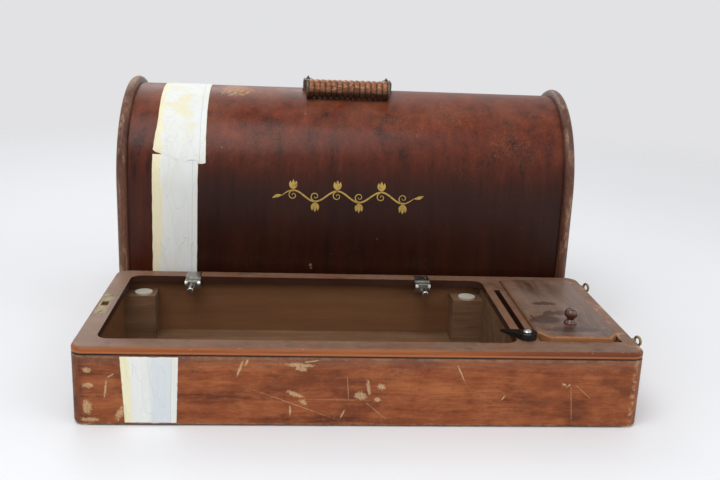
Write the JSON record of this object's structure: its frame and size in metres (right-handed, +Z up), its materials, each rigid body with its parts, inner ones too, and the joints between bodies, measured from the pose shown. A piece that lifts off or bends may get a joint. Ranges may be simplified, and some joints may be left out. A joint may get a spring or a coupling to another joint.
{
  "type": "sewing machine cover box",
  "caption": "Wooden carrying case for a hand sewing machine: low base box with a well and a lidded accessory compartment, and a lift-off arched cover with a carrying handle.",
  "frame": {"origin": "on the table, under the middle of the box that holds the base and the cover standing behind it", "axes": "+X along the front to the right, +Y to the back, +Z up"},
  "size_m": [0.5132, 0.446, 0.2761],
  "materials": {
    "box_wood": "red-brown stained mahogany, worn satin varnish",
    "inner_wood": "plain unfinished wood, dusty",
    "deck_wood": "stained wood, worn grey-brown on top, orange-brown at the edges",
    "lid_wood": "stained wood, faded and marked",
    "knob_wood": "polished turned wood",
    "shell_wood": "red-brown varnished bent plywood",
    "rim_wood": "dark brown varnished moulding with worn edges",
    "panel_wood": "red-brown varnished board",
    "grip_wood": "orange-brown varnished turned wood",
    "felt": "pressed felt",
    "tape": "white masking paper tape, a cream left edge",
    "old_brass": "tarnished brass",
    "worn_steel": "dull plated steel",
    "black_iron": "black japanned iron",
    "dark_bronze": "dark lacquered bronze"
  },
  "bodies": {
    "base": {"base_front_board": "box_wood", "base_back_board": "box_wood", "base_left_board": "box_wood", "base_right_board": "box_wood", "base_bottom_board": "inner_wood", "base_foot_pads": "felt", "bed_support_blocks": "inner_wood", "bed_support_felts": "felt", "well_partition": "inner_wood", "compartment_left_wall": "inner_wood", "deck_front_rail": "deck_wood", "deck_back_rail": "deck_wood", "deck_left_rail": "deck_wood", "deck_right_rail": "deck_wood", "deck_cross_rail": "deck_wood", "strike_plate": "old_brass", "strike_plate_screws": "old_brass", "screw_eyes": "old_brass", "machine_hinge_bracket_left": "worn_steel", "machine_hinge_bracket_right": "worn_steel", "machine_hinge_screws": "worn_steel", "machine_hinge_pins": "worn_steel", "machine_catch_screw": "worn_steel", "base_tape": "tape"},
    "lid": {"accessory_lid": "lid_wood", "lid_knob": "knob_wood", "lid_pivot_pins": "old_brass"},
    "catch": {"machine_catch": "black_iron"},
    "hinge_arm_left": {"machine_hinge_arm_left": "worn_steel"},
    "hinge_arm_right": {"machine_hinge_arm_right": "worn_steel"},
    "cover": {"cover_shell": "shell_wood", "cover_left_rim": "rim_wood", "cover_right_rim": "rim_wood", "cover_left_panel": "panel_wood", "cover_right_panel": "panel_wood", "cover_front_batten": "inner_wood", "cover_back_batten": "inner_wood", "cover_corner_blocks": "inner_wood", "lock_case": "worn_steel", "lock_plate": "worn_steel", "lock_plate_screws": "worn_steel", "keyhole_plate": "old_brass", "cover_tape": "tape", "handle_lug_left": "dark_bronze", "handle_lug_right": "dark_bronze", "handle_lug_screws": "dark_bronze", "hook_screws": "old_brass"},
    "lock_bolt_body": {"lock_bolt": "worn_steel"},
    "lock_cam_body": {"lock_cam": "worn_steel"},
    "handle": {"handle_grip": "grip_wood", "handle_arm_left": "dark_bronze", "handle_arm_right": "dark_bronze", "handle_rod": "dark_bronze", "handle_pivot_pins": "dark_bronze"},
    "hook_front_body": {"hook_front": "old_brass"},
    "hook_back_body": {"hook_back": "old_brass"}
  },
  "joints": [
    {"name": "accessory_lid_hinge", "type": "hinge", "parent": "base", "child": "lid", "pos_m": [0.19609, -0.03002, 0.0702], "axis": [-1, 0, 0], "range_deg": [0, 95]},
    {"name": "machine_catch_turn", "type": "hinge", "parent": "base", "child": "catch", "pos_m": [0.14759, -0.18962, 0.0732], "axis": [0, 0, 1], "range_deg": [-52, 125]},
    {"name": "machine_hinge_left", "type": "hinge", "parent": "base", "child": "hinge_arm_left", "pos_m": [-0.17141, -0.02962, 0.067], "axis": [-1, 0, 0], "range_deg": [0, 100]},
    {"name": "machine_hinge_right", "type": "hinge", "parent": "base", "child": "hinge_arm_right", "pos_m": [0.07359, -0.02962, 0.067], "axis": [-1, 0, 0], "range_deg": [0, 100]},
    {"name": "cover_lift", "type": "slide", "parent": "base", "child": "cover", "axis": [0, 0, 1], "range_m": [0, 0.15]},
    {"name": "handle_swing", "type": "hinge", "parent": "cover", "child": "handle", "pos_m": [-0.00761, 0.11129, 0.269], "axis": [-0.9998, 0.0218, 0], "range_deg": [0, 190]},
    {"name": "lock_bolt_slide", "type": "slide", "parent": "cover", "child": "lock_bolt_body", "axis": [0, 0, -1], "range_m": [0, 0.008]},
    {"name": "lock_cam_turn", "type": "hinge", "parent": "cover", "child": "lock_cam_body", "pos_m": [-0.24807, 0.11803, 0.028], "axis": [0.9998, -0.0218, 0], "range_deg": [0, 90]},
    {"name": "hook_front_swing", "type": "hinge", "parent": "cover", "child": "hook_front_body", "pos_m": [0.24426, 0.03377, 0.022], "axis": [0.9998, -0.0218, 0], "range_deg": [0, 100]},
    {"name": "hook_back_swing", "type": "hinge", "parent": "cover", "child": "hook_back_body", "pos_m": [0.24766, 0.18973, 0.022], "axis": [-0.9998, 0.0218, 0], "range_deg": [0, 100]}
  ],
  "couplings": [
    {"joint": "lock_cam_turn", "follows": "lock_bolt_slide", "rad_per_m": 196.35}
  ]
}
